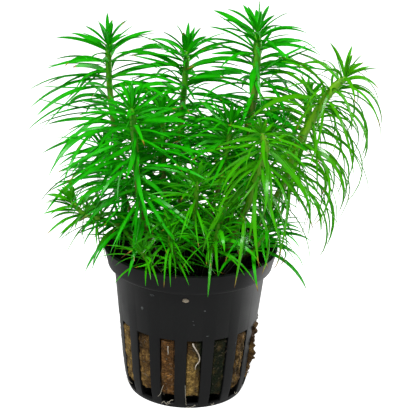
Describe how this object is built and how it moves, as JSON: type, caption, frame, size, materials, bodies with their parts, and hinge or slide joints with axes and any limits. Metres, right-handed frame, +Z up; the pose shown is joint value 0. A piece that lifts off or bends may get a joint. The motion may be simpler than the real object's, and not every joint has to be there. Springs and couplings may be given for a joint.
{
  "type": "potted pogostemon deccanensis",
  "caption": "Aquarium stem plant with whorls of narrow green leaves on branching shoots, rooted in a rockwool plug in a round slotted black net pot.",
  "frame": {"origin": "the middle of the pot's flat underside", "axes": "+Z up out of the pot's mouth, -Y towards the side seen in the picture, +X to the right in that view"},
  "size_m": [0.1095, 0.0819, 0.1246],
  "materials": {
    "black_plastic": "satin",
    "rockwool": "matt, fibrous",
    "root_white": "satin",
    "leaf_green": "satin"
  },
  "bodies": {
    "root": {"net_pot": "black_plastic", "rockwool_plug": "rockwool", "root_front_slot": "root_white", "root_left_slot": "root_white", "shoot_back_left": "leaf_green", "shoot_front_left": "leaf_green", "shoot_back_middle": "leaf_green", "shoot_tall_right": "leaf_green", "shoot_right_leaning": "leaf_green", "shoot_front_right": "leaf_green", "shoot_low_left": "leaf_green", "shoot_front_low": "leaf_green", "shoot_front_left_low": "leaf_green", "shoot_front_middle": "leaf_green", "shoot_front_centre_low": "leaf_green", "shoot_right_small": "leaf_green", "shoot_middle_left": "leaf_green", "shoot_middle_right": "leaf_green", "shoot_right_low": "leaf_green", "shoot_rear_left": "leaf_green", "shoot_rear_middle": "leaf_green", "shoot_rear_right": "leaf_green", "shoot_rear_far_left": "leaf_green", "shoot_rear_low": "leaf_green", "shoot_rear_right_low": "leaf_green"}
  },
  "joints": []
}
